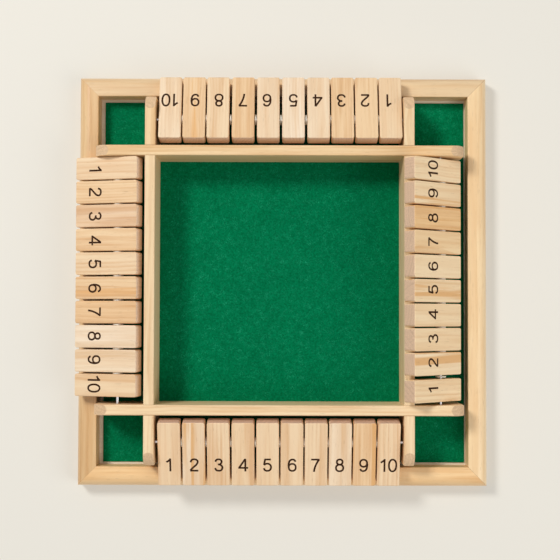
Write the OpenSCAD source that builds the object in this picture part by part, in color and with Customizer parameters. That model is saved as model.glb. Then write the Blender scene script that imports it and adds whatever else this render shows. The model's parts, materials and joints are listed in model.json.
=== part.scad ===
// Four-player shut the box board, in millimetres: a mitred wooden tray with a felt floor, inner
// walls that frame a square dice arena, and a row of ten numbered tiles on a steel rod at each side.
// The origin is the middle of the underside, +X is east, +Y is north and +Z is up.
// A row is drawn once, at the south side, and turned by quarter turns to the other three.

/* [Numbered tiles] */
// Width of a tile, along its rod
tile_w = 16.2; // [12:0.1:22]
// Length of a tile
tile_l = 47.5; // [42:0.5:52]
// Thickness of a tile
tile_t = 10.6; // [8:0.1:13]
// Distance from a tile's short end to the middle of its bore
tile_heel = 16.1; // [13:0.1:19]
// Rounding of a tile's four corners, seen from above
tile_corner_r = 1.8; // [1:0.1:4]
// Rounding of a tile's long edges
tile_ease = 0.7; // [0.2:0.1:1.5]
// Room for a raised or lying tile over the wood that it rests on
rest_gap = 0.1; // [0.05:0.05:0.4]
// Side whose ten tiles stand raised against the arena wall
raised_side = 1; // [-1:None, 0:South, 1:East, 2:North, 3:West]

/* [Rods and washers] */
// Diameter of a rod
rod_d = 2; // [1.4:0.1:4]
// Height of the inner walls' top over a rod's middle
rod_drop = 9; // [6:0.5:11]
// Depth of a rod's end in its blind hole
rod_seat = 4.5; // [3:0.5:6]
// Radial room of a rod in its blind hole
seat_clear = 0.02; // [0.01:0.01:0.05]
// Room past a rod's end in its blind hole
seat_end_gap = 0.2; // [0.1:0.1:0.8]
// Radial room of a tile's bore round its rod
bore_clear = 0.1; // [0.03:0.01:0.3]
// Outer diameter of a washer
washer_d = 7.6; // [5:0.1:9]
// Thickness of a washer
washer_t = 0.9; // [0.5:0.1:3]
// Radial room of a washer's hole round its rod
washer_clear = 0.15; // [0.05:0.05:0.4]
// Loose play of a whole row of tiles and washers along its rod
row_play = 7.9; // [3:0.1:16]

/* [Inner walls] */
// Thickness of the inner walls
wall_t = 7.5; // [6:0.5:12]
// Height of the inner walls over the felt
wall_h = 35; // [32:0.5:42]
// Round-over of the walls' outer ends
wall_end_r = 10.8; // [4:0.1:14]
// Rounding of the walls' upright corners at those ends
wall_corner_r = 1.5; // [0.5:0.1:2.5]
// Rounding of the walls' long top edges
wall_ease = 0.8; // [0.3:0.1:2]
// Room between a tile's swinging heel and the arena wall
heel_gap = 2.55; // [1:0.05:6]
// Distance from a rod's middle to the wall end outside it
rod_to_end = 17; // [14:0.5:24]
// Mean gap between the wall ends and the frame
grid_gap = 2.5; // [2.4:0.1:6]
// How far the inner walls stand off the middle, towards the west
grid_shift = 2.4; // [0:0.1:2.4]

/* [Frame and floor] */
// Width of the frame's moulding
frame_w = 14.5; // [13:0.5:22]
// Height of the frame
frame_h = 18.5; // [15:0.5:23]
// Round-over of the frame's outer top edge
frame_round = 8; // [3:0.5:10]
// Rounding of the frame's inner top edge
frame_ease = 0.8; // [0.2:0.1:2]
// Thickness of the base board
base_t = 4; // [2.5:0.5:6]
// Width of the rebate that takes the base board's edge
rebate_w = 5; // [3:0.5:8]
// Room round the base board in its rebate
base_clear = 0.2; // [0:0.1:0.5]
// Thickness of the felt
felt_t = 1; // [0.5:0.1:2]
// Width of the bare board between the felt and the south side of the frame
felt_margin_south = 1.7; // [0.5:0.1:4]
// Width of the bare board between the felt and the east side of the frame
felt_margin_east = 0.8; // [0.5:0.1:4]
// Width of the bare board between the felt and the north side of the frame
felt_margin_north = 2.2; // [0.5:0.1:4]
// Width of the bare board between the felt and the west side of the frame
felt_margin_west = 2.9; // [0.5:0.1:4]

/* [Hidden] */
$fn = 64;
SIDES = ["south", "east", "north", "west"];
TILES = 10;
CUT = 1;

PINE = [0.93, 0.81, 0.64];
PINE_TILE = [0.91, 0.78, 0.62];
PLY = [0.80, 0.68, 0.52];
FELT = [0.03, 0.42, 0.24];
STEEL = [0.78, 0.78, 0.78];
NYLON = [0.95, 0.95, 0.92];

// Shares of a row's play at each side: before tile 1, spread over all gaps, spread over the wide gaps
play_first = [0.30, 0.31, 0.13, 0.05];
play_spread = [0.23, 0.25, 0.23, 0.115];
play_wide = [0.165, 0.215, 0.405, 0.17];
// Number of the tile before the first wide gap, and how many wide gaps there are, at each side
wide_from = [1, 1, 4, 5];
wide_gaps = [4, 1, 4, 5];

// Plan sizes, from the tiles outwards
arena_w = TILES * tile_w + (TILES - 1) * washer_t + row_play;
heel_r = sqrt(pow(tile_heel, 2) + pow(tile_t / 2, 2));
wall_to_rod = heel_r + heel_gap;
wing_l = wall_to_rod + rod_to_end;
grid_w = arena_w + 2 * (wall_t + wing_l);
well_w = grid_w + 2 * grid_gap;
board_w = well_w + 2 * frame_w;
base_w = well_w + 2 * (rebate_w - base_clear);
rod_r = arena_w / 2 + wall_t + wall_to_rod;
rod_l = arena_w + 2 * rod_seat;

// Heights, from the underside upwards
floor_z = base_t + felt_t;
wall_top_z = floor_z + wall_h;
rod_z = wall_top_z - rod_drop;

// Tiles lie on the frame: either flat on its round-over, or on their own end where that is short
toe_l = tile_l - tile_heel;
function flat_angle(dx, dz) =
    let (c = -(tile_t / 2 + rest_gap + frame_round))
    asin(c / norm([dx, dz])) - atan2(dz, dx);
function end_angle() =
    asin((rod_z - frame_h - rest_gap) / norm([toe_l, tile_t / 2])) - atan2(tile_t / 2, toe_l);
function side_shift(side) = side == 1 ? grid_shift : side == 3 ? -grid_shift : 0;
function lie_angle(side) =
    max(end_angle(), flat_angle(board_w / 2 - frame_round - rod_r + side_shift(side),
                                frame_h - frame_round - rod_z));

// Raised tiles lean on the eased outer top edge of the arena wall
function lean_angle() =
    let (dx = wall_to_rod + wall_ease)
    let (dz = rod_drop - wall_ease)
    asin((tile_t / 2 + rest_gap + wall_ease) / norm([dx, dz])) + atan2(dz, dx);
function tile_angle(side) = side == raised_side ? lean_angle() - 180 : lie_angle(side);

// Places along a rod, from the player's left
function is_wide(side, n) = n >= wide_from[side] && n < wide_from[side] + wide_gaps[side];
function gap_after(side, n) =
    let (wide = is_wide(side, n) ? play_wide[side] / wide_gaps[side] : 0)
    washer_t + row_play * (play_spread[side] / (TILES - 1) + wide);
function tile_left(side, n) =
    n == 1 ? row_play * play_first[side] - arena_w / 2
           : tile_left(side, n - 1) + tile_w + gap_after(side, n - 1);
function washer_mid(side, n) = tile_left(side, n) + tile_w + gap_after(side, n) / 2;

function tile_name(side, n) = str("tile_", SIDES[side], "_", n);

// Turns what is drawn at the south side of the inner walls to another side
module at_side(side) {
    translate([-grid_shift, 0, 0])
        rotate([0, 0, 90 * side])
            children();
}

// Flat rectangle about the origin with its four corners rounded
module rounded_rect(w, h, r) {
    square([w - 2 * r, h], center = true);
    square([w, h - 2 * r], center = true);
    for (x = [-1, 1], y = [-1, 1])
        translate([x * (w / 2 - r), y * (h / 2 - r)])
            circle(r);
}

// What a round-over takes off a corner at the origin that points to +X and +Y
module corner_waste(r) {
    difference() {
        translate([-r, -r])
            square(r + CUT);
        translate([-r, -r])
            circle(r);
    }
}

// Wooden block with rounded plan corners and eased long edges, about the origin
module eased_block(w, l, t, corner_r, ease) {
    intersection() {
        translate([0, 0, -t / 2])
            linear_extrude(t)
                rounded_rect(w, l, corner_r);
        translate([0, l / 2, 0])
            rotate([90, 0, 0])
                linear_extrude(l)
                    rounded_rect(w, t, ease);
        translate([-w / 2, 0, 0])
            rotate([90, 0, 90])
                linear_extrude(w)
                    rounded_rect(l, t, ease);
    }
}

// Base board, let into the frame's rebate and flush with its underside
module tray_base() {
    color(PLY)
        translate([-base_w / 2, -base_w / 2, 0])
            cube([base_w, base_w, base_t]);
}

// One felt sheet under the arena, the rows and the corner pockets
module felt_lining() {
    color(FELT)
        translate([felt_margin_west - well_w / 2, felt_margin_south - well_w / 2, base_t])
            cube([well_w - felt_margin_west - felt_margin_east,
                  well_w - felt_margin_south - felt_margin_north,
                  felt_t]);
}

// Section of the frame's moulding, from its outer face inwards
module frame_section() {
    difference() {
        square([frame_w, frame_h]);
        translate([frame_w - rebate_w, -CUT])
            square([rebate_w + CUT, base_t + CUT]);
        translate([0, frame_h])
            mirror([1, 0])
                corner_waste(frame_round);
        translate([frame_w, frame_h])
            corner_waste(frame_ease);
    }
}

// One side of the frame, mitred at both ends
module frame_side(side) {
    half = board_w / 2;
    color(PINE)
        rotate([0, 0, 90 * side])
            intersection() {
                translate([-half, -half, 0])
                    rotate([90, 0, 90])
                        linear_extrude(board_w)
                            frame_section();
                linear_extrude(frame_h)
                    polygon([[0, 0], [-half, -half], [half, -half]]);
            }
}

// Wall along +X that stands on the felt, with its eased top and its round-overs at either end
module wall(length, round_start, round_end) {
    from = round_start ? 0 : -2 * wall_corner_r;
    to = round_end ? length : length + 2 * wall_corner_r;
    translate([0, 0, floor_z])
        intersection() {
            translate([(from + to) / 2, 0, 0])
                linear_extrude(wall_h)
                    rounded_rect(to - from, wall_t, wall_corner_r);
            translate([0, wall_t / 2, 0])
                rotate([90, 0, 0])
                    linear_extrude(wall_t)
                        difference() {
                            square([length, wall_h]);
                            if (round_end)
                                translate([length, wall_h])
                                    corner_waste(wall_end_r);
                            if (round_start)
                                translate([0, wall_h])
                                    mirror([1, 0])
                                        corner_waste(wall_end_r);
                        }
            rotate([90, 0, 90])
                linear_extrude(length)
                    difference() {
                        translate([-wall_t / 2, 0])
                            square([wall_t, wall_h]);
                        translate([wall_t / 2, wall_h])
                            corner_waste(wall_ease);
                        translate([-wall_t / 2, wall_h])
                            mirror([1, 0])
                                corner_waste(wall_ease);
                    }
        }
}

// Blind holes in the faces that the rod of one side runs between
module rod_holes(side) {
    at_side(side)
        translate([0, -rod_r, rod_z])
            rotate([0, 90, 0])
                cylinder(h = rod_l + 2 * seat_end_gap, r = rod_d / 2 + seat_clear, center = true);
}

// Long wall that closes the arena and runs on to the frame at both sides
module rail(side) {
    color(PINE)
        difference() {
            at_side(side)
                translate([-grid_w / 2, -(arena_w + wall_t) / 2, 0])
                    wall(grid_w, true, true);
            rod_holes(1);
            rod_holes(3);
        }
}

// Short wall between the two rails
module divider(side) {
    color(PINE)
        at_side(side)
            translate([-arena_w / 2, -(arena_w + wall_t) / 2, 0])
                wall(arena_w, false, false);
}

// Short wall that carries a divider's line on to the frame, at one end of a north or south row
module cheek(row_side, end) {
    color(PINE)
        difference() {
            at_side(row_side)
                translate([end * (arena_w + wall_t) / 2, -arena_w / 2 - wall_t, 0])
                    rotate([0, 0, -90])
                        wall(wing_l, false, true);
            rod_holes(row_side);
        }
}

// Steel rod that a row of tiles turns on
module rod(side) {
    color(STEEL)
        at_side(side)
            translate([0, -rod_r, rod_z])
                rotate([0, 90, 0])
                    cylinder(h = rod_l, r = rod_d / 2, center = true);
}

// Washers that keep neighbouring tiles apart, nine on each rod
module spacer_washers() {
    color(NYLON)
        for (side = [0 : 3], n = [1 : TILES - 1])
            at_side(side)
                translate([washer_mid(side, n), -rod_r, rod_z])
                    rotate([0, 90, 0])
                        difference() {
                            cylinder(h = washer_t, r = washer_d / 2, center = true);
                            cylinder(h = washer_t + 2 * CUT, r = rod_d / 2 + washer_clear, center = true);
                        }
}

// Numbered tile with its bore across it, lying on the frame or raised against the wall
module tile(side, n) {
    color(PINE_TILE)
        at_side(side)
            translate([tile_left(side, n) + tile_w / 2, -rod_r, rod_z])
                rotate([tile_angle(side), 0, 0])
                    difference() {
                        translate([0, tile_heel - tile_l / 2, 0])
                            eased_block(tile_w, tile_l, tile_t, tile_corner_r, tile_ease);
                        rotate([0, 90, 0])
                            cylinder(h = tile_w + 2 * CUT, r = rod_d / 2 + bore_clear, center = true);
                    }
}

tray_base();
felt_lining();
frame_side(0);  // frame_south
frame_side(1);  // frame_east
frame_side(2);  // frame_north
frame_side(3);  // frame_west
rail(0);  // rail_south
rail(2);  // rail_north
divider(1);  // divider_east
divider(3);  // divider_west
cheek(0, -1);  // cheek_southwest
cheek(0, 1);  // cheek_southeast
cheek(2, -1);  // cheek_northeast
cheek(2, 1);  // cheek_northwest
rod(0);  // rod_south
rod(1);  // rod_east
rod(2);  // rod_north
rod(3);  // rod_west
spacer_washers();
for (side = [0 : 3], n = [1 : TILES])
    tile(side, n);
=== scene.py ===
import json
import math
from functools import partial
import bpy
import numpy as np
from mathutils import Matrix, Vector


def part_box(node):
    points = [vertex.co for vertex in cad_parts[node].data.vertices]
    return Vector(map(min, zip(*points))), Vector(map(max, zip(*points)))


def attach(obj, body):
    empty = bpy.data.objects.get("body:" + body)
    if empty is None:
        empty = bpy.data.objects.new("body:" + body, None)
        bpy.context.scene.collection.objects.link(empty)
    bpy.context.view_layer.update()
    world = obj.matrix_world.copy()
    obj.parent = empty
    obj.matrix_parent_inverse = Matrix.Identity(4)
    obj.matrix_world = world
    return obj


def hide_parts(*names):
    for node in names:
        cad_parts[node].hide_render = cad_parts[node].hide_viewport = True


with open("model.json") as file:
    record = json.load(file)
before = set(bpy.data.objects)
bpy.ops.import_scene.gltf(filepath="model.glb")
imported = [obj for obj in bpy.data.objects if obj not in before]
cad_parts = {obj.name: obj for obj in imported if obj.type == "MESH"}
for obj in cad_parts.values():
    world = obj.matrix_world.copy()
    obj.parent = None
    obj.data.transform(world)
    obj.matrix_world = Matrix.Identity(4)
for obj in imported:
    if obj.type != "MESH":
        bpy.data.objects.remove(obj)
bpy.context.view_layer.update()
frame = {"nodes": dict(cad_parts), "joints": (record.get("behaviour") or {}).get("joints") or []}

# Viewpoint and studio: the board lies on a cream table top and is seen from 0.83 m, almost straight
# above its middle. A soft lamp stands to the north-west, a weaker and broader one to the south-east,
# and the pale room fills the shadows.

camera = bpy.data.objects.new("camera", bpy.data.cameras.new("camera"))
camera.data.sensor_width = 36
camera.data.lens = 71.66
camera.data.clip_start = 0.01
camera.location = (-0.00161, -0.02374, 0.83367)
camera.rotation_euler = (math.radians(1.71), math.radians(0.02), math.radians(0.15))
bpy.context.scene.collection.objects.link(camera)
bpy.context.scene.camera = camera
bpy.context.scene.view_settings.view_transform = "Standard"


def soft_lamp(name, place, share, width):
    """Round lamp at a place, turned to the middle of the board. A level surface there takes share of
    full white from it: energy = share * pi^2 * distance^3 / height."""
    lamp = bpy.data.objects.new(name, bpy.data.lights.new(name, "AREA"))
    lamp.data.shape = "DISK"
    lamp.data.size = width
    lamp.location = Vector(place)
    lamp.data.energy = share * math.pi**2 * lamp.location.length**3 / lamp.location.z
    lamp.rotation_euler = lamp.location.to_track_quat("Z", "Y").to_euler()
    lamp.visible_camera = False
    bpy.context.scene.collection.objects.link(lamp)


soft_lamp("key_lamp", place=(-0.97, 0.84, 1.48), share=0.45, width=0.48)
soft_lamp("fill_lamp", place=(0.96, -0.5, 0.9), share=0.195, width=1.0)


def node(tree, kind, values=(), **settings):
    """Outputs of one new shader node. Settings are its own properties, and values are {socket:
    constant, or the output that feeds it}."""
    made = tree.nodes.new("ShaderNode" + kind)
    for name, value in settings.items():
        setattr(made, name, value)
    for name, value in dict(values).items():
        if isinstance(value, bpy.types.NodeSocket):
            tree.links.new(value, made.inputs[name])
        else:
            made.inputs[name].default_value = value
    return made.outputs


def reckon(tree, kind, a, b=0.0, c=0.0):
    """Math node on up to three numbers or outputs."""
    return node(tree, "Math", {0: a, 1: b, 2: c}, operation=kind)[0]


def seen_directly(tree):
    """1 for rays from the camera and those that gloss or glass sends on, 0 for rays of light."""
    path = node(tree, "LightPath")
    direct = reckon(tree, "MAXIMUM", path["Is Camera Ray"], path["Is Glossy Ray"])
    return reckon(tree, "MAXIMUM", direct, path["Is Transmission Ray"])


WHITE = (1, 1, 1, 1)
ROOM_LIGHT = 0.39
room = bpy.data.worlds.new("room")
room.use_nodes = True
tree = room.node_tree
glow = reckon(tree, "MULTIPLY_ADD", seen_directly(tree), 1 - ROOM_LIGHT, ROOM_LIGHT)
tree.links.new(glow, tree.nodes["Background"].inputs["Strength"])
tree.nodes["Background"].inputs["Color"].default_value = WHITE
bpy.context.scene.world = room


def tone(red, green, blue):
    """Linear colour of an sRGB colour on 0 to 255. With c the share of 255, it is c / 12.92 up to
    0.04045, and ((c + 0.055) / 1.055) ^ 2.4 above."""
    c = np.array([red, green, blue]) / 255
    return (*np.where(c <= 0.04045, c / 12.92, ((c + 0.055) / 1.055) ** 2.4), 1.0)


def length(tree, vector):
    """Length of a vector."""
    return node(tree, "VectorMath", {0: vector}, operation="LENGTH")["Value"]


def ramp(tree, value, low=0.0, high=1.0, first=0.0, last=1.0, shape="LINEAR"):
    """Number that goes from first, where value is low, to last, where it is high, on a straight line
    or, with SMOOTHSTEP, on an S-shaped one, and keeps to them outside."""
    span = {"Value": value, "From Min": low, "From Max": high, "To Min": first, "To Max": last}
    return node(tree, "MapRange", span, interpolation_type=shape)[0]


def mixed(tree, amount, first, second):
    """Colour (1 - amount) * first + amount * second."""
    return node(tree, "Mix", {0: amount, 6: first, 7: second}, data_type="RGBA")[2]


def places_on(tree):
    """Object coordinates, which are metres from the middle of the board."""
    return node(tree, "TexCoord")["Object"]


def material(name):
    """Empty node material, its tree, and the sockets of the Principled shader that ends it."""
    made = bpy.data.materials.new(name)
    made.use_nodes = True
    return made, made.node_tree, made.node_tree.nodes["Principled BSDF"].inputs


def new_piece(name, points, faces, finish, smooth=True):
    """Mesh object at the origin from an (n, 3) array in metres and a list of corner indices."""
    mesh = bpy.data.meshes.new(name)
    mesh.from_pydata(points, [], faces)
    mesh.polygons.foreach_set("use_smooth", [smooth] * len(mesh.polygons))
    mesh.materials.append(finish)
    mesh.update()
    piece = bpy.data.objects.new(name, mesh)
    bpy.context.scene.collection.objects.link(piece)
    return piece


TABLE_REACH = 3.0
FADE_STARTS = 0.5
FADE_ENDS = 2.6
EVEN_SHARE = 0.35
table_top, tree, shader = material("table_top")
shader["Base Color"].default_value = tone(234, 230, 219)
shader["Roughness"].default_value = 0.9
shader["Specular IOR Level"].default_value = 0.1
away = ramp(tree, length(tree, places_on(tree)), FADE_STARTS, FADE_ENDS)
even = mixed(tree, away, tone(237, 232, 222), WHITE)
even = node(tree, "Emission", {"Color": even, "Strength": 1.0})[0]
share = reckon(tree, "MULTIPLY", seen_directly(tree), ramp(tree, away, first=EVEN_SHARE))
lit = tree.nodes["Principled BSDF"].outputs[0]
pale = node(tree, "MixShader", {0: share, 1: lit, 2: even})[0]
tree.links.new(pale, tree.nodes["Material Output"].inputs["Surface"])
corners = [(x * TABLE_REACH, y * TABLE_REACH, 0) for x, y in ((-1, -1), (1, -1), (1, 1), (-1, 1))]
floor = new_piece("table", corners, [(0, 1, 2, 3)], table_top)

# Base board: one square of thin birch plywood, sanded, let into the rebate under the frame. Only its
# underside and the bare strips round the felt show.

MM = 0.001


def vectors(tree, kind, a, b):
    """Vector Math node on two vectors or outputs."""
    return node(tree, "VectorMath", {0: a, 1: b}, operation=kind)[0]


def wood_grain():
    """Shader group for sawn wood whose grain runs along its own Y. Growth rings are the fraction of
    (distance from the pith / ring width + slow noise), each ring with its own depth of colour.
    Streaks, bands and fibres are noise drawn out along the grain. The end colour takes over where
    the surface turns across the grain by more than End Start + End Oval * (distance off the
    middle)^2. There it is painted brighter in proportion to that turn, by the input for painted light
    on the end grain: painted light that stands in for the light missed by ends turned from the lamps."""
    group = bpy.data.node_groups.new("wood_grain", "ShaderNodeTree")
    sockets = {
        "NodeSocketVector": ("Centre", "Turn", "Pith"),
        "NodeSocketFloat": (
            "Seed", "Ring Width", "Rings", "Streaks", "Bands", "End Start", "End Oval", "End Lift",
        ),
        "NodeSocketColor": ("Pale", "Late", "Band", "End"),
    }
    for kind, names in sockets.items():
        for name in names:
            group.interface.new_socket(name, in_out="INPUT", socket_type=kind)
    group.interface.new_socket("Color", in_out="OUTPUT", socket_type="NodeSocketColor")
    for name in ("Roughness", "Height"):
        group.interface.new_socket(name, in_out="OUTPUT", socket_type="NodeSocketFloat")
    given = group.nodes.new("NodeGroupInput").outputs
    out = group.nodes.new("NodeGroupOutput").inputs
    worked = partial(reckon, group)
    moved = partial(vectors, group)
    swell = partial(ramp, group, shape="SMOOTHSTEP")

    def drawn_out(along, scale, detail, warp=0.0):
        """Noise whose spots are 1 / along times longer with the grain than across it."""
        places = moved("MULTIPLY", shifted, (1, along, 1))
        spots = {"Vector": places, "Scale": scale, "Detail": detail, "Distortion": warp}
        return node(group, "TexNoise", spots)["Fac"]

    # Place and direction of the surface in the frame of the piece.
    coords = node(group, "TexCoord")
    place = {"Vector": coords["Object"], "Location": given["Centre"], "Rotation": given["Turn"]}
    own = node(group, "Mapping", place, vector_type="TEXTURE")[0]
    facing = {"Vector": coords["Normal"], "Rotation": given["Turn"]}
    facing = node(group, "Mapping", facing, vector_type="TEXTURE")[0]
    shifted = moved("ADD", own, given["Seed"])

    # Growth rings: from each to the next the wood darkens slowly and turns pale at once.
    bend = {"Vector": shifted, "Scale": 26, "Detail": 2, "Roughness": 0.4}
    bend = moved("MULTIPLY", node(group, "TexNoise", bend)["Color"], (3.5 * MM, 0, 3.5 * MM))
    heart = moved("ADD", moved("SUBTRACT", own, given["Pith"]), bend)
    radius = length(group, moved("MULTIPLY", heart, (1, 0, 1)))
    wander = worked("MULTIPLY", drawn_out(0.1, 90, 3), 0.9)
    count = worked("ADD", worked("DIVIDE", radius, given["Ring Width"]), wander)
    phase = worked("FRACT", count)
    line = worked("MULTIPLY", swell(phase, 0.25, 0.86), swell(phase, 1.0, 0.9))
    depth = {"W": worked("FLOOR", count)}
    depth = node(group, "TexWhiteNoise", depth, noise_dimensions="1D")["Value"]
    line = worked("MULTIPLY", line, worked("MULTIPLY_ADD", depth, 0.8, 0.3))

    # Marks along the grain.
    streak = swell(drawn_out(0.06, 170, 2, 0.4), 0.38, 0.66)
    thread = swell(drawn_out(0.03, 520, 2, 0.2), 0.5, 0.7)
    band = worked("MULTIPLY", swell(drawn_out(0.05, 120, 2, 0.8), 0.5, 0.62), given["Bands"])
    fibre = drawn_out(0.025, 1500, 3)
    vessel = swell(drawn_out(0.05, 2600, 1), 0.66, 0.74)

    # Colour along the grain.
    late = worked("MULTIPLY", line, given["Rings"])
    streaked = worked("MULTIPLY", worked("MULTIPLY_ADD", thread, 0.5, streak), given["Streaks"])
    late = worked("ADD", late, streaked)
    late = worked("ADD", late, worked("MULTIPLY", worked("SUBTRACT", fibre, 0.5), 0.35))
    late = node(group, "Math", {0: late, 1: 0.0}, operation="ADD", use_clamp=True)[0]
    sawn = mixed(group, late, given["Pale"], given["Late"])
    sawn = mixed(group, band, sawn, given["Band"])
    sawn = mixed(group, worked("MULTIPLY", vessel, 0.22), sawn, tone(120, 82, 50))

    # Colour of the end grain.
    across = worked("ABSOLUTE", node(group, "SeparateXYZ", {0: facing})["Y"])
    aside = node(group, "SeparateXYZ", {0: own})["X"]
    aside = worked("MULTIPLY", aside, aside)
    start = worked("MULTIPLY_ADD", aside, given["End Oval"], given["End Start"])
    end = swell(across, start, worked("ADD", start, 0.06))
    pores = {"Vector": moved("MULTIPLY", shifted, (1, 0.15, 1)), "Scale": 1900, "Detail": 2}
    pores = node(group, "TexNoise", pores)["Fac"]
    cut = mixed(group, worked("MULTIPLY", line, 0.15), given["End"], tone(128, 92, 60))
    speck = swell(pores, 0.3, 0.7, 0.86, 1.06)
    # Painted light: the end colour is brightened the more the surface turns across the grain. The
    # specks are the pores' own colour.
    lift = worked("MULTIPLY", speck, worked("MULTIPLY_ADD", across, given["End Lift"], 1))
    cut = node(group, "VectorMath", {0: cut, "Scale": lift}, operation="SCALE")[0]
    group.links.new(mixed(group, end, sawn, cut), out["Color"])

    # End grain is rougher, and late wood stands a little proud of the pale wood.
    rough = worked("MULTIPLY_ADD", end, 0.16, worked("MULTIPLY_ADD", fibre, 0.16, 0.46))
    group.links.new(rough, out["Roughness"])
    height = worked("MULTIPLY_ADD", line, 0.35, worked("MULTIPLY", fibre, 0.8))
    height = worked("SUBTRACT", height, worked("MULTIPLY", vessel, 0.4))
    height = worked("MULTIPLY_ADD", worked("MULTIPLY", pores, end), 0.8, height)
    group.links.new(height, out["Height"])
    return group


grain = wood_grain()


def raise_surface(tree, height, strength, distance):
    """Bump: the Principled shader's Normal follows a height, of which 1 stands for distance."""
    values = {"Strength": strength, "Distance": distance, "Height": height}
    tree.links.new(node(tree, "Bump", values)[0], tree.nodes["Principled BSDF"].inputs["Normal"])


def wooden(name, coat=0.0, **given):
    """Material of one sawn piece. Its grain runs along the Y of a frame with the given centre and
    turn, and the other values given go to the inputs of wood_grain of the same name."""
    made, tree, shader = material(name)
    wood = tree.nodes.new("ShaderNodeGroup")
    wood.node_tree = grain
    for socket, value in given.items():
        wood.inputs[socket.replace("_", " ").title()].default_value = value
    tree.links.new(wood.outputs["Color"], shader["Base Color"])
    tree.links.new(wood.outputs["Roughness"], shader["Roughness"])
    raise_surface(tree, wood.outputs["Height"], strength=0.35, distance=0.2 * MM)
    shader["Specular IOR Level"].default_value = 0.3
    shader["Coat Weight"].default_value = coat
    shader["Coat Roughness"].default_value = 0.3
    return made


def dress(name, finish):
    """Gives a CAD node its finish, in every slot."""
    slots = frame["nodes"][name].data.materials
    if not slots:
        slots.append(finish)
    for i in range(len(slots)):
        slots[i] = finish


HONEY_BAND = tone(226, 172, 110)
END_GREY = tone(206, 172, 148)
ply = wooden(
    "birch_ply",
    centre=(0, 0, 2 * MM),
    turn=(0, 0, math.radians(90)),
    pith=(0.02, 0, -0.9),
    seed=3.1,
    ring_width=13 * MM,
    pale=tone(240, 231, 213),
    late=tone(223, 210, 188),
    band=HONEY_BAND,
    end=END_GREY,
    rings=0.7,
    streaks=0.35,
    bands=0.0,
    end_start=0.6,
)
dress("tray_base", ply)

# Felt: one sheet of short green needle felt, 1 mm thick, glued on the base board. It is cut a little
# smaller than the well, so that bare board shows round it, and the inner walls stand on it.

FELT_GRID = 180
FELT_RIM = 0.4 * MM
FELT_WAVE = 0.05 * MM
felt_low, felt_high = (np.array(corner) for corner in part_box("felt_lining"))


def felt_points(n, rim, wave):
    """Two n by n grids of points for a closed sheet. Top: z = top - wave * (1 + mean of four crossed
    sine waves) / 2, and its rim drops by rim * (1 - sqrt(1 - (1 - d / rim)^2)) at a distance d under
    rim from the edge. Underside: flat."""
    size = felt_high - felt_low
    bend = rim * np.array([0.0, 0.15, 0.45])
    sides = []
    for width in size[:2]:
        flat = np.linspace(rim, width - rim, n - 6)
        sides.append(np.concatenate([bend, flat, width - bend[::-1]]))
    u, v = np.meshgrid(*sides, indexing="ij")
    edge = np.minimum(np.minimum(u, size[0] - u), np.minimum(v, size[1] - v))
    drop = rim * (1 - np.sqrt(np.clip(1 - np.clip(1 - edge / rim, 0, 1) ** 2, 0, 1)))
    waves = np.sin(61 * u + 17 * v) + np.sin(43 * v - 29 * u + 1)
    waves += np.sin(97 * u + 2) + np.sin(113 * v + 0.7)
    top = size[2] - wave * (1 + waves / 4) / 2 - drop
    upper = np.stack([u, v, top], axis=-1).reshape(-1, 3)
    lower = np.stack([u, v, np.zeros_like(u)], axis=-1).reshape(-1, 3)
    return np.vstack([upper, lower]) + felt_low


def sheet_faces(n):
    """Quads of two n by n grids, the lower turned over, and the strip that joins their borders."""
    index = np.arange(n * n).reshape(n, n)
    quads = (index[:-1, :-1], index[1:, :-1], index[1:, 1:], index[:-1, 1:])
    quads = np.stack(quads, axis=-1).reshape(-1, 4)
    ring = np.concatenate([index[:-1, 0], index[-1, :-1], index[:0:-1, -1], index[0, :0:-1]])
    after = np.roll(ring, -1)
    border = np.stack([ring + n * n, after + n * n, after, ring], axis=-1)
    return np.vstack([quads, quads[:, ::-1] + n * n, border]).tolist()


def noise(tree, places, scale, detail, warp=0.0):
    """Noise texture with scale spots to the metre."""
    spots = {"Vector": places, "Scale": scale, "Detail": detail, "Distortion": warp}
    return node(tree, "TexNoise", spots)["Fac"]


nap, tree, shader = material("felt_nap")
felt_noise = partial(noise, tree, places_on(tree))
curl = reckon(tree, "SUBTRACT", felt_noise(300, 2, warp=2.4), 0.5)
hair = ramp(tree, reckon(tree, "ABSOLUTE", curl), 0, 0.035, 1, 0)
tuft = reckon(tree, "MULTIPLY", hair, ramp(tree, felt_noise(260, 2), 0.42, 0.62))
mottle = ramp(tree, felt_noise(900, 4), 0.35, 0.65)
green = mixed(tree, mottle, tone(3, 102, 62), tone(5, 123, 79))
green = mixed(tree, reckon(tree, "MULTIPLY", tuft, 0.8), green, tone(36, 160, 116))
cloud = ramp(tree, felt_noise(45, 2), 0.35, 0.65, 0.96, 1.05)
green = node(tree, "VectorMath", {0: green, "Scale": cloud}, operation="SCALE")[0]
tree.links.new(green, shader["Base Color"])
pile = reckon(tree, "MULTIPLY_ADD", hair, 0.6, ramp(tree, felt_noise(700, 3), 0.35, 0.65))
raise_surface(tree, pile, strength=0.5, distance=0.5 * MM)
shader["Roughness"].default_value = 1.0
shader["Specular IOR Level"].default_value = 0.0
shader["Sheen Weight"].default_value = 0.1
shader["Sheen Roughness"].default_value = 0.5
shader["Sheen Tint"].default_value = tone(0, 170, 110)

points = felt_points(FELT_GRID, FELT_RIM, FELT_WAVE)
felt = new_piece("felt_sheet", points, sheet_faces(FELT_GRID), nap)
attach(felt, "board")
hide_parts("felt_lining")

# Frame: four lengths of pale pine moulding, rounded over along the outside, mitred and glued at the
# corners round the base board. Satin clear lacquer. A thin dark line of glue shows at each mitre.

FRAME_MIDDLE = 143 * MM
FRAME_Z = 9 * MM
FRAME_SIDES = (
    # side, its direction from the middle of the board, turn of its grain in degrees
    ("south", 0, -1, 90),
    ("east", 1, 0, 0),
    ("north", 0, 1, 90),
    ("west", -1, 0, 0),
)
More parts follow.
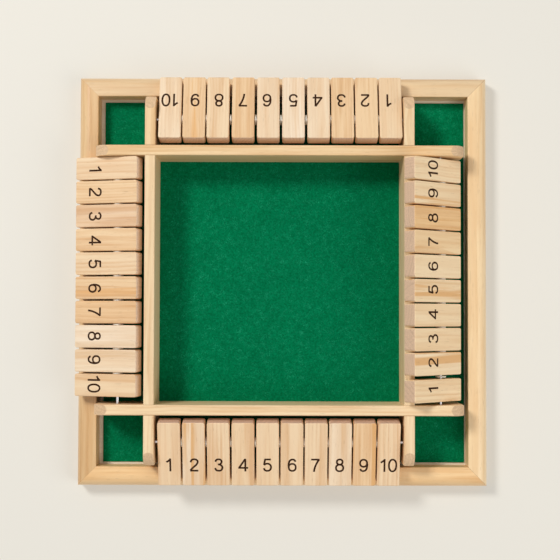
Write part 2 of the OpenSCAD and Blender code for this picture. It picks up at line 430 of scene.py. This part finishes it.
# Pale and late wood of each side. Besides the wood's own tone, the east and south sides are painted
# lighter and the west and north sides darker: painted light, which evens out how the lamp from the
# north-west falls on the rounded edges.
FRAME_TONES_AND_PAINTED_LIGHT = {
    "south": (tone(247, 208, 154), tone(227, 176, 115)),
    "east": (tone(249, 219, 172), tone(232, 191, 139)),
    "north": (tone(230, 200, 157), tone(210, 168, 119)),
    "west": (tone(225, 189, 139), tone(204, 158, 104)),
}
GLUE = tone(134, 84, 40)
GLUE_W = 0.45 * MM


def mitre_line():
    """Shader group for the glue in a mitre: 1 where | |x| - |y| | is nil, 0 from the width on. The
    line is fainter towards the west and broken up by noise."""
    group = bpy.data.node_groups.new("mitre_line", "ShaderNodeTree")
    group.interface.new_socket("Width", in_out="INPUT", socket_type="NodeSocketFloat")
    group.interface.new_socket("Mask", in_out="OUTPUT", socket_type="NodeSocketFloat")
    given = group.nodes.new("NodeGroupInput").outputs
    out = group.nodes.new("NodeGroupOutput").inputs
    worked = partial(reckon, group)
    places = places_on(group)
    apart = node(group, "SeparateXYZ", {0: places})
    off = worked("SUBTRACT", worked("ABSOLUTE", apart["X"]), worked("ABSOLUTE", apart["Y"]))
    line = ramp(group, worked("ABSOLUTE", off), 0, given["Width"], 1, 0, shape="SMOOTHSTEP")
    gap = ramp(group, noise(group, places, 160, 2), 0.3, 0.6, 0.35, 1)
    faint = ramp(group, apart["X"], -0.14, 0.1, 0.3, 1)
    line = worked("MULTIPLY", worked("MULTIPLY", line, gap), faint)
    group.links.new(line, out["Mask"])
    return group


glue_line = mitre_line()
for index, (side, x, y, turn) in enumerate(FRAME_SIDES):
    pale, late = FRAME_TONES_AND_PAINTED_LIGHT[side]
    pine = wooden(
        f"frame_pine_{side}",
        coat=0.6,
        centre=(x * FRAME_MIDDLE, y * FRAME_MIDDLE, FRAME_Z),
        turn=(0, 0, math.radians(turn)),
        pith=(0.03 - 0.021 * index, 0, -0.05 - 0.012 * index),
        seed=11.3 + 7.7 * index,
        ring_width=3.2 * MM,
        pale=pale,
        late=late,
        band=HONEY_BAND,
        end=END_GREY,
        rings=0.5,
        streaks=0.5,
        bands=0.12,
        end_start=0.85,
    )
    tree = pine.node_tree
    wood = next(n for n in tree.nodes if n.type == "GROUP")
    seam = tree.nodes.new("ShaderNodeGroup")
    seam.node_tree = glue_line
    seam.inputs["Width"].default_value = GLUE_W
    amount = reckon(tree, "MULTIPLY", seam.outputs["Mask"], 0.5)
    colour = mixed(tree, amount, wood.outputs["Color"], GLUE)
    tree.links.new(colour, tree.nodes["Principled BSDF"].inputs["Base Color"])
    dress(f"frame_{side}", pine)

# Inner walls: two long rails, two short dividers and four cheeks, sawn from the same pine, with eased
# edges and rounded outer ends. They stand glued on the felt and hold the rods in blind holes.

RAIL_Y = 92.75 * MM
EAST_X = 90.35 * MM
WEST_X = -95.15 * MM
CHEEK_Y = 115 * MM
WALL_Z = 22 * MM
# Pale and late wood of each cut.
WALL_TONES = {
    "pale": (tone(246, 218, 176), tone(228, 188, 140)),
    "fair": (tone(241, 214, 172), tone(222, 183, 136)),
    "warm": (tone(239, 207, 160), tone(219, 175, 122)),
}
# The rounded ends of the walls are painted brighter as they turn, most on the southern cheeks, whose
# tips face away from the key lamp: painted light.
INNER_WALLS = (
    # node, cut, painted light on its end grain, place of its middle, turn of its grain in degrees
    ("rail_south", "pale", 0.08, 0, -RAIL_Y, 90),
    ("rail_north", "warm", 0.08, 0, RAIL_Y, 90),
    ("divider_east", "fair", 0, EAST_X, 0, 0),
    ("divider_west", "fair", 0, WEST_X, 0, 0),
    ("cheek_southwest", "pale", 0.2, WEST_X, -CHEEK_Y, 0),
    ("cheek_southeast", "pale", 0.28, EAST_X, -CHEEK_Y, 0),
    ("cheek_northeast", "fair", 0.15, EAST_X, CHEEK_Y, 0),
    ("cheek_northwest", "warm", 0.1, WEST_X, CHEEK_Y, 0),
)
for index, (name, cut, lift, x, y, turn) in enumerate(INNER_WALLS):
    pale, late = WALL_TONES[cut]
    pine = wooden(
        f"wall_pine_{name}",
        coat=0.08,
        centre=(x, y, WALL_Z),
        turn=(0, 0, math.radians(turn)),
        pith=(0.02 + 0.009 * (index % 3), 0, 0.03 - 0.02 * (index % 4)),
        seed=40.7 + 5.9 * index,
        ring_width=2.6 * MM,
        pale=pale,
        late=late,
        band=HONEY_BAND,
        end=tone(218, 184, 145),
        rings=0.45,
        streaks=0.5,
        bands=0.15,
        end_start=0.03,
        end_oval=12000,
        end_lift=lift,
    )
    dress(name, pine)

# Rods: four lengths of 2 mm bright drawn steel wire, pushed into the blind holes before the walls are
# glued. Drawing leaves faint lines along them.

DRAWN_ALONG_X = (20, 2600, 2600)
DRAWN_ALONG_Y = (2600, 20, 2600)
RODS = {
    "south": DRAWN_ALONG_X,
    "east": DRAWN_ALONG_Y,
    "north": DRAWN_ALONG_X,
    "west": DRAWN_ALONG_Y,
}
for side, stretch in RODS.items():
    steel, tree, shader = material(f"drawn_wire_{side}")
    lines = node(tree, "Mapping", {"Vector": places_on(tree), "Scale": stretch})[0]
    drawn = noise(tree, lines, 1, 3)
    bright = mixed(tree, drawn, tone(190, 190, 192), tone(226, 226, 228))
    tree.links.new(bright, shader["Base Color"])
    tree.links.new(ramp(tree, drawn, 0, 1, 0.18, 0.38), shader["Roughness"])
    raise_surface(tree, drawn, strength=0.2, distance=0.05 * MM)
    shader["Metallic"].default_value = 1.0
    dress(f"rod_{side}", steel)

# Washers: small rings of milky nylon, loose on the rods between neighbouring tiles. Light sinks a
# little way into them.

nylon, tree, shader = material("milky_nylon")
cloud = noise(tree, places_on(tree), 700, 2)
milk = mixed(tree, cloud, tone(226, 222, 208), tone(244, 242, 232))
tree.links.new(milk, shader["Base Color"])
tree.links.new(ramp(tree, cloud, 0, 1, 0.3, 0.5), shader["Roughness"])
raise_surface(tree, cloud, strength=0.15, distance=0.1 * MM)
shader["Subsurface Weight"].default_value = 0.35
shader["Subsurface Radius"].default_value = (1.5 * MM, 1.4 * MM, 1.2 * MM)
dress("spacer_washers", nylon)

# Tiles: forty blocks of pale pine, sawn along the grain, drilled across and sanded, with rounded
# corners and eased edges. Each is cut from another part of the plank, so its rings run their own way.

# Turn of each row about the middle of the board, in degrees.
SIDES = {"south": 0, "east": 90, "north": 180, "west": 270}
# Pale and late wood of each plank.
TONES = {
    "ivory": ((243, 222, 195), (230, 200, 164)),
    "cream": ((240, 216, 184), (224, 189, 149)),
    "straw": ((238, 210, 172), (220, 179, 135)),
    "honey": ((237, 204, 161), (216, 170, 121)),
    "amber": ((233, 195, 149), (206, 154, 102)),
    "rosy": ((232, 200, 164), (212, 170, 130)),
}
# Painted light: the south and east rows are painted lighter, making up for the weaker light that falls
# on them. The raised east row leans away from the key lamp.
ROW_PAINTED_LIGHT = {
    "south": (1.03, 1.025, 1.025),
    "east": (1.04, 1.03, 0.985),
    "north": (1, 1, 1),
    "west": (1, 1, 1),
}
# End grain of each row, painted lighter than its own tone, the west and north rows most: painted light,
# standing in for the light that the ends miss, above all the heel ends down in the narrow gaps by the
# walls.
END_TONES_AND_PAINTED_LIGHT = {
    "south": tone(218, 184, 158),
    "east": tone(222, 188, 158),
    "north": tone(236, 204, 172),
    "west": tone(250, 224, 196),
}
# The planks that tiles 1 to 10 come from. A star marks one with honey-coloured bands along it.
PLANKS = {
    "south": "straw cream* straw straw straw straw straw cream honey* straw",
    "east": "cream ivory* cream cream cream* cream straw amber* cream* cream",
    "north": "straw honey honey cream ivory cream honey straw honey* cream",
    "west": "straw honey rosy honey straw honey* amber* ivory cream straw",
}


def tile_axes(side, number):
    """Pivot of a tile, and its axes at rest as a matrix's columns: X along the rod to the player's
    right, Y up the tile from its toe to its heel, Z = X x Y out of the face that shows when it lies."""
    name = f"tile_{side}_{number}"
    pivot = next(Vector(joint["pos_m"]) for joint in frame["joints"] if joint["child"] == name)
    turn = math.radians(SIDES[side])
    right = Vector((math.cos(turn), math.sin(turn), 0))
    low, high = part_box(name)
    middle = (low + high) / 2 - pivot
    heel = -(middle - right * middle.dot(right)).normalized()
    return pivot, Matrix((right, heel, right.cross(heel))).transposed()


draw = np.random.default_rng(12)
for side in SIDES:
    for number, plank in enumerate(PLANKS[side].split(), start=1):
        pivot, axes = tile_axes(side, number)
        shades = TONES[plank.rstrip("*")]
        # Painted light: the factors of the row brighten the plank's tones.
        pale, late = (tone(*np.multiply(shade, ROW_PAINTED_LIGHT[side])) for shade in shades)
        angle = draw.uniform(0, 2 * math.pi)
        far = draw.uniform(0.02, 0.07)
        pine = wooden(
            f"tile_pine_{side}_{number}",
            centre=pivot,
            turn=axes.to_euler(),
            pith=(far * math.cos(angle), 0, far * math.sin(angle)),
            seed=draw.uniform(100, 900),
            ring_width=draw.uniform(1.8 * MM, 3.4 * MM),
            pale=pale,
            late=late,
            band=HONEY_BAND,
            # Painted light: the row's end grain is lightened.
            end=END_TONES_AND_PAINTED_LIGHT[side],
            rings=draw.uniform(0.2, 0.6),
            streaks=draw.uniform(0.3, 0.7),
            bands=0.85 if plank.endswith("*") else 0.15,
            end_start=0.72,
        )
        dress(f"tile_{side}_{number}", pine)

# Numbers: 1 to 10 from each player's left, printed in dark brown ink on both faces of every tile, so
# that they read upright from outside whether the tile lies or stands. The print is plain and thin.

TILE_T = 10.6 * MM
ROD_TO_TOE = 31.4 * MM
DIGIT_H = 10 * MM
STROKE_W = 1.34 * MM
INK_T = 0.03 * MM
ADVANCE = 0.66
# In shares of a digit's height: half a stroke's width, and the height of a stroke along the top.
HALF = STROKE_W / DIGIT_H / 2
TOP = 1 - HALF


def oval(x, y, rx, ry, power=2.2, count=28):
    """Closed oval about (x, y): |cos|^(2 / power) by |sin|^(2 / power), with their signs."""
    a = np.linspace(0, 2 * np.pi, count, endpoint=False)
    right = x + rx * np.sign(np.cos(a)) * np.abs(np.cos(a)) ** (2 / power)
    up = y + ry * np.sign(np.sin(a)) * np.abs(np.sin(a)) ** (2 / power)
    return np.stack([right, up], axis=-1)


# Strokes of each digit, as points (right of its middle, up from its foot) in shares of its height.
SIX_STEM = [
    (0.24, 0.765), (0.195, 0.86), (0.12, 0.92), (0.02, TOP), (-0.1, 0.9),
    (-0.195, 0.79), (-0.245, 0.62), (-0.258, 0.44), (-0.24, 0.335),
]
LOWER_TAIL = [(-0.13, 0.09), (-0.215, 0.165), (-0.255, 0.275)]
GLYPHS = {
    "0": [("loop", oval(0, 0.5, 0.262, 0.515 - HALF))],
    "1": [
        ("line", [(0.08, 0.01), (0.08, 0.99)]),
        ("curve", [(0.08, 0.945), (0.01, 0.855), (-0.09, 0.775), (-0.2, 0.715)]),
    ],
    "2": [
        ("curve", [
            (-0.245, 0.7), (-0.225, 0.81), (-0.14, 0.905), (0, TOP), (0.14, 0.905), (0.235, 0.82),
            (0.245, 0.7), (0.19, 0.575), (0.06, 0.43), (-0.1, 0.29), (-0.215, 0.165), (-0.27, HALF),
        ]),
        ("line", [(-0.3, HALF), (0.29, HALF)]),
    ],
    "3": [
        ("curve", [
            (-0.235, 0.745), (-0.19, 0.86), (-0.1, 0.922), (0, TOP), (0.12, 0.91),
            (0.195, 0.825), (0.205, 0.735), (0.165, 0.625), (0.075, 0.56), (-0.06, 0.545),
        ]),
        ("curve", [
            (-0.03, 0.543), (0.09, 0.525), (0.2, 0.455), (0.258, 0.36), (0.262, 0.285),
            (0.225, 0.165), (0.13, 0.085), (0, HALF), *LOWER_TAIL,
        ]),
    ],
    "4": [
        ("line", [(0.13, 0.95), (-0.3, 0.3)]),
        ("line", [(-0.36, 0.29), (0.345, 0.29)]),
        ("line", [(0.145, 0.02), (0.145, 0.98)]),
    ],
    "5": [
        ("line", [(-0.19, TOP), (0.245, TOP)]),
        ("line", [(-0.165, 0.97), (-0.235, 0.5)]),
        ("curve", [
            (-0.235, 0.5), (-0.14, 0.585), (-0.01, 0.615), (0.12, 0.59), (0.225, 0.49),
            (0.26, 0.345), (0.225, 0.19), (0.13, 0.095), (-0.01, HALF), *LOWER_TAIL,
        ]),
    ],
    "6": [
        ("loop", oval(0.01, 0.335, 0.25, 0.335 - HALF)),
        ("curve", SIX_STEM),
    ],
    "7": [
        ("line", [(-0.305, TOP), (0.3, TOP)]),
        ("curve", [
            (0.28, 0.94), (0.16, 0.77), (0.05, 0.55), (-0.03, 0.33), (-0.075, 0.14), (-0.09, 0),
        ]),
    ],
    "8": [
        ("loop", oval(0, 0.755, 0.205, 0.26 - HALF)),
        ("loop", oval(0, 0.3, 0.262, 0.315 - HALF)),
    ],
    "9": [
        ("loop", oval(-0.01, 0.665, 0.25, 0.335 - HALF)),
        ("curve", [(-x, 1 - y) for x, y in SIX_STEM]),
    ],
}


def smooth_path(points, steps=6):
    """Open Catmull-Rom curve through the points, with steps places from each to the next: the half
    of 2 b + (c - a) t + (2 a - 5 b + 4 c - d) t^2 + (3 b - a - 3 c + d) t^3 from b to c."""
    p = np.array(points, float)
    p = np.vstack([2 * p[0] - p[1], p, 2 * p[-1] - p[-2]])
    t = (np.arange(steps) / steps)[None, :, None]
    a, b, c, d = (p[i : len(p) - 3 + i, None, :] for i in range(4))
    square = 2 * a - 5 * b + 4 * c - d
    cube = 3 * b - a - 3 * c + d
    curve = 0.5 * (2 * b + (c - a) * t + square * t**2 + cube * t**3)
    return np.vstack([curve.reshape(-1, 2), p[-2]])


def ink_stroke(kind, path):
    """Low closed bead of ink: a seven-sided profile, domed on top and sunk into the wood, carried
    along the path. Returns points (right, up, out of the face) in metres and their faces."""
    closed = kind == "loop"
    line = smooth_path(path) if kind == "curve" else np.array(path, float)
    ahead = np.roll(line, -1, 0) - np.roll(line, 1, 0) if closed else np.gradient(line, axis=0)
    ahead /= np.linalg.norm(ahead, axis=1, keepdims=True)
    aside = np.stack([ahead[:, 1], -ahead[:, 0]], axis=-1)
    profile = [(-1, -0.6), (1, -0.6), (1, 0.4), (0.55, 0.85), (0, 1), (-0.55, 0.85), (-1, 0.4)]
    profile = np.array(profile)
    wide = aside[:, None, :] * profile[None, :, :1] * STROKE_W / 2
    flat = line[:, None, :] * DIGIT_H + wide
    out = np.broadcast_to(profile[None, :, 1:] * INK_T, (*flat.shape[:2], 1))
    n, k = flat.shape[:2]
    i, j = np.meshgrid(np.arange(n if closed else n - 1), np.arange(k), indexing="ij")
    i2 = (i + 1) % n
    j2 = (j + 1) % k
    faces = np.stack([i * k + j, i2 * k + j, i2 * k + j2, i * k + j2], axis=-1)
    faces = faces.reshape(-1, 4).tolist()
    if not closed:
        faces += [list(range(k)), [(n - 1) * k + j for j in reversed(range(k))]]
    return np.concatenate([flat, out], axis=2).reshape(-1, 3), faces


def joined(parts):
    """Points and faces of several meshes as one, each part's faces counting on from those before."""
    points, faces = [], []
    for more, corners in parts:
        count = sum(map(len, points))
        points.append(more)
        faces += [[corner + count for corner in face] for face in corners]
    return np.vstack(points), faces


def printed(number):
    """Points and faces of a whole number, its digits set ADVANCE of their height apart about the
    middle."""
    parts = []
    text = str(number)
    for place, digit in enumerate(text):
        right = (place - (len(text) - 1) / 2) * ADVANCE * DIGIT_H
        for kind, path in GLYPHS[digit]:
            points, faces = ink_stroke(kind, path)
            parts.append((points + (right, -DIGIT_H / 2, 0), faces))
    return joined(parts)


ink, tree, shader = material("brown_ink")
blot = noise(tree, places_on(tree), 1600, 2)
dark = mixed(tree, blot, tone(44, 24, 12), tone(64, 38, 22))
tree.links.new(dark, shader["Base Color"])
tree.links.new(ramp(tree, blot, 0, 1, 0.7, 0.9), shader["Roughness"])
raise_surface(tree, blot, strength=0.2, distance=0.05 * MM)
shader["Specular IOR Level"].default_value = 0.1

# Places of the numbers on the tiles, in mm: from the toe, lying and standing, and off the middle.
FROM_TOE = {
    "south": (15.8, 18.4),
    "east": (15.5, 18.5),
    "north": (18.3, 15.6),
    "west": (15.3, 18.4),
}
OFF_CENTRE = {
    "south": (0.0, 0.3, 0.2, 0.2, -0.2, 0.2, -0.5, -0.4, -0.5, -0.4),
    "east": (1.2, 1.1, 0.6, 0.7, 0.9, 0.1, 0.0, -0.1, 0.2, -0.3),
    "north": (1.4, 1.0, 0.8, 0.8, 0.1, 1.0, 0.3, -0.5, -0.5, -0.1),
    "west": (0.8, 0.0, 0.2, 0.6, 0.2, 0.3, -0.3, -0.3, -0.8, -1.2),
}
for side in SIDES:
    lying, standing = (ROD_TO_TOE - distance * MM for distance in FROM_TOE[side])
    for number, off in enumerate(OFF_CENTRE[side], start=1):
        pivot, axes = tile_axes(side, number)
        points, faces = printed(number)
        points[:, 0] += off * MM
        down = points + (0, -lying, TILE_T / 2)
        up = points * (1, -1, -1) + (0, -standing, -TILE_T / 2)
        points, faces = joined([(down, faces), (up, faces)])
        points = points @ np.array(axes).T + np.array(pivot)
        piece = new_piece(f"{side}_number_{number}", points, faces, ink, smooth=False)
        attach(piece, f"tile_{side}_{number}")
